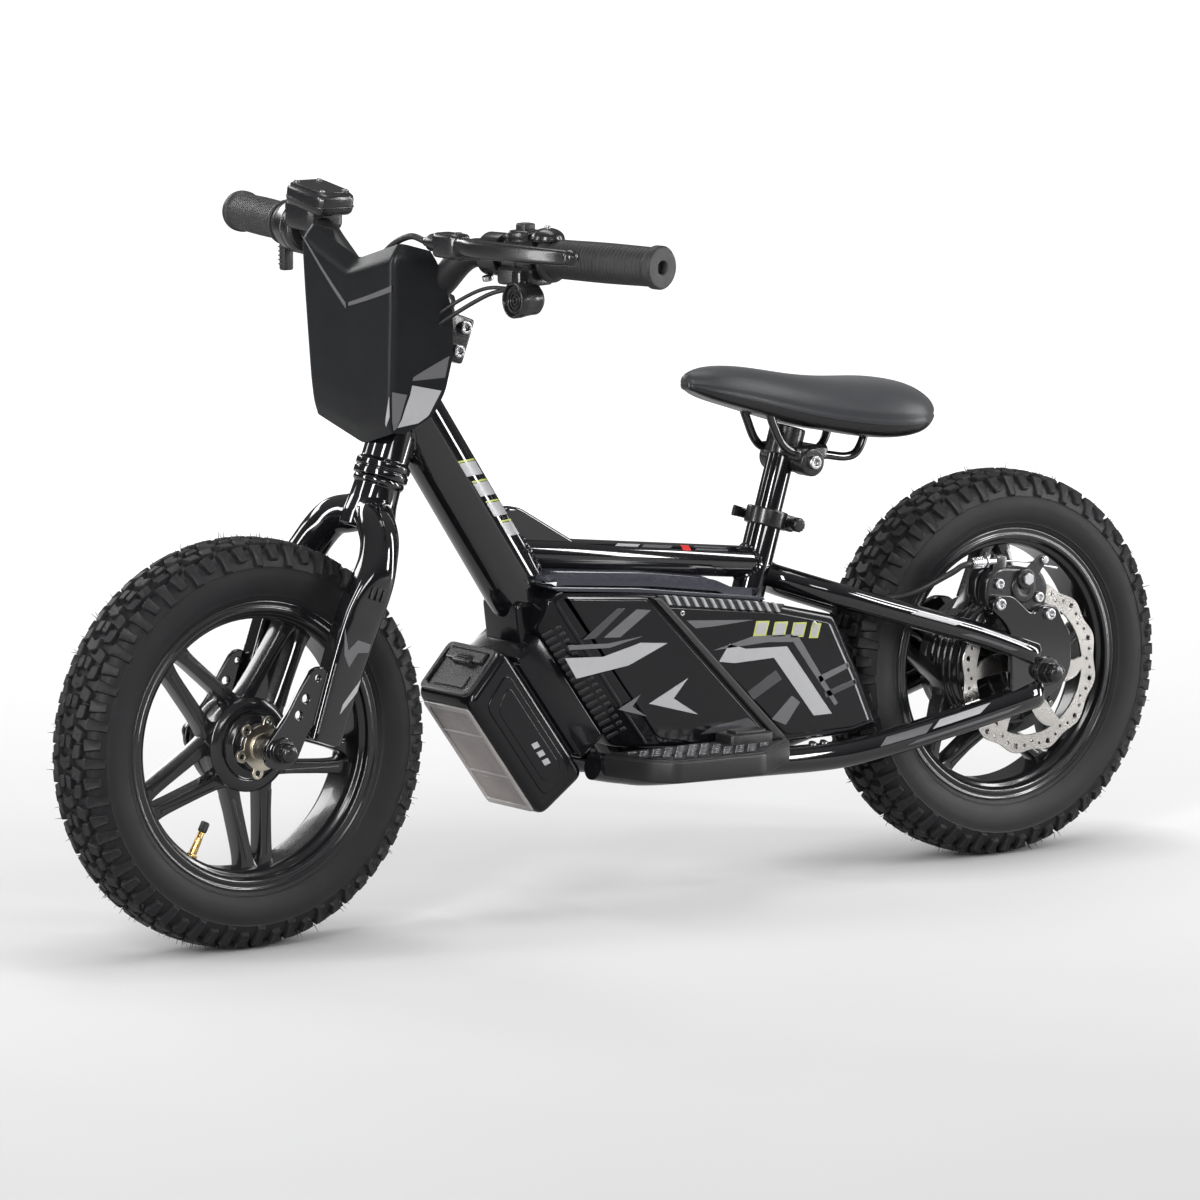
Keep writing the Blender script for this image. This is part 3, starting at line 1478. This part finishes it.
SADDLE_SECTIONS = [
    # x, top, underside, half width
    (0.0605, 0.4130, 0.4010, 0.0100),
    (0.0750, 0.4175, 0.3935, 0.0215),
    (0.1100, 0.4160, 0.3835, 0.0255),
    (0.1600, 0.4050, 0.3675, 0.0342),
    (0.2050, 0.4005, 0.3580, 0.0530),
    (0.2350, 0.3995, 0.3550, 0.0625),
    (0.2600, 0.3960, 0.3575, 0.0595),
    (0.2770, 0.3870, 0.3630, 0.0400),
]


def saddle_cage():
    """Eight corners a section: crown, two shoulders, two widest points, two lower edges and the underside."""
    shape = bmesh.new()
    rings = []
    for x, top, under, half in SADDLE_SECTIONS:
        height = top - under
        corners = [
            (0.0, top),
            (0.62 * half, top - 0.03 * height),
            (1.02 * half, top - 0.42 * height),
            (0.92 * half, under - 0.10 * height),
            (0.0, under + 0.04 * height),
            (-0.92 * half, under - 0.10 * height),
            (-1.02 * half, top - 0.42 * height),
            (-0.62 * half, top - 0.03 * height),
        ]
        rings.append([shape.verts.new((x, y, z)) for y, z in corners])
    for first, second in zip(rings, rings[1:]):
        for i in range(8):
            j = (i + 1) % 8
            shape.faces.new((first[i], first[j], second[j], second[i]))
    for ring, flip in ((rings[0], False), (rings[-1], True)):
        for quad in ((0, 1, 2, 7), (7, 2, 3, 6), (6, 3, 4, 5)):
            corners = [ring[i] for i in quad]
            shape.faces.new(corners if flip else corners[::-1])
    bmesh.ops.recalc_face_normals(shape, faces=shape.faces)
    obj = mesh_object("saddle", shape, Matrix.Identity(4), PAINT_SADDLE)
    smoothing = obj.modifiers.new("smoothing", "SUBSURF")
    smoothing.levels = 2
    smoothing.render_levels = 2
    return obj


saddle = saddle_cage()
rail_sinks = mesh_tube("rail_sinks", rail_path, RAIL_RADIUS + GAP, resolution=2)
cut(saddle, rail_sinks)
carry(seat_axis, seat_post, clamp, rails, saddle)

# Rear brake

CALIPER = Vector((0.3390, -0.0545, 0.2260))
CALIPER_FACE = -(DROPOUT_Y - DROPOUT_THICK / 2 - GAP)
caliper = box(
    "brake_caliper",
    (0.064, -CALIPER_FACE - 0.0405, 0.036),
    at((CALIPER.x, (CALIPER_FACE - 0.0405) / 2, CALIPER.z)) @ Matrix.Rotation(math.radians(6), 4, "Y"),
    PAINT_CAST,
    bevel=0.003,
)
rotor_slot = cylinder(
    "rotor_slot",
    ROTOR_RADIUS + ROTOR_WAVE + RUNNING,
    ROTOR_THICK + 2 * RUNNING,
    aim((REAR_AXLE.x, ROTOR_Y, REAR_AXLE.z), LEFT),
    sides=36,
)
cable_stop = box("cable_stop", (0.008, 0.012, 0.012), at((0.3110, -0.0645, 0.2470)))
CABLE_STOP = Vector((0.3050, -0.0660, 0.2510))
barrel = cylinder("cable_barrel", 0.0042, 0.020, aim(CABLE_STOP, (1, 0, 0)), sides=12)
cable_bore = cylinder("cable_bore", 0.0010, 0.10, aim(CABLE_STOP, (1, 0, 0)), sides=8)
join(caliper, cable_stop, barrel)
cut(caliper, rotor_slot, cable_bore)

ARM_PIVOT = Vector((0.3460, CALIPER_FACE - GAP - 0.0015, 0.2350))
arm_axis = pivot("caliper_arm_axis", ARM_PIVOT)
ARM_BOSS = 0.0085
ARM_OUTLINE = [
    *circle((ARM_PIVOT.x, ARM_PIVOT.z), ARM_BOSS, 14, math.radians(100))[:9],
    (0.3640, 0.2440),
    (0.3680, 0.2490),
    (0.3660, 0.2530),
    (0.3600, 0.2530),
]
arm = plate("caliper_arm", [ARM_OUTLINE], 0.003, side_view(ARM_PIVOT.y), PAINT_STEEL)
carry(arm_axis, arm)

# The brake cable runs from the lever, down behind the number plate, along the right side of the
# down tube and the top tube, past the seat tube and along the left upper stay to the caliper.
BESIDE_TUBE = DOWN_TUBE_RADIUS + 0.0055
CABLE_KNOTS = [
    (-0.2475, -0.0821, 0.5420),
    (-0.2480, -0.0600, 0.5440),
    (-0.2490, -0.0300, 0.5300),
    (-0.2470, 0.0100, 0.4920),
    (-0.2400, 0.0270, 0.4450),
    (-0.2120, BESIDE_TUBE, 0.4060),
    (-0.1800, BESIDE_TUBE - 0.0012, 0.3620),
    (-0.1500, BESIDE_TUBE - 0.0012, 0.3215),
    (-0.1260, BESIDE_TUBE - 0.0018, 0.2980),
    (-0.0900, 0.0160, 0.2405 + 2 * DOWN_TUBE_RADIUS),
    (-0.0200, 0.0155, 0.2815),
    (0.0700, 0.0155, 0.2715),
    (0.1130, 0.0185, 0.2640),
    (0.1400, 0.0190, 0.2595),
    (0.1620, 0.0050, 0.2460),
    (0.1850, -0.0200, 0.2345),
    (0.2080, -0.0330, 0.2270),
    (0.2455, -0.0420, 0.2262),
    (0.2750, -0.0600, 0.2425),
    (0.2850, -0.0655, 0.2495),
    (0.2942, -0.0660, 0.2510),
]
cable = tube("brake_cable", smooth_path(CABLE_KNOTS, 2), CABLE_RADIUS, PAINT_PLASTIC, resolution=2)
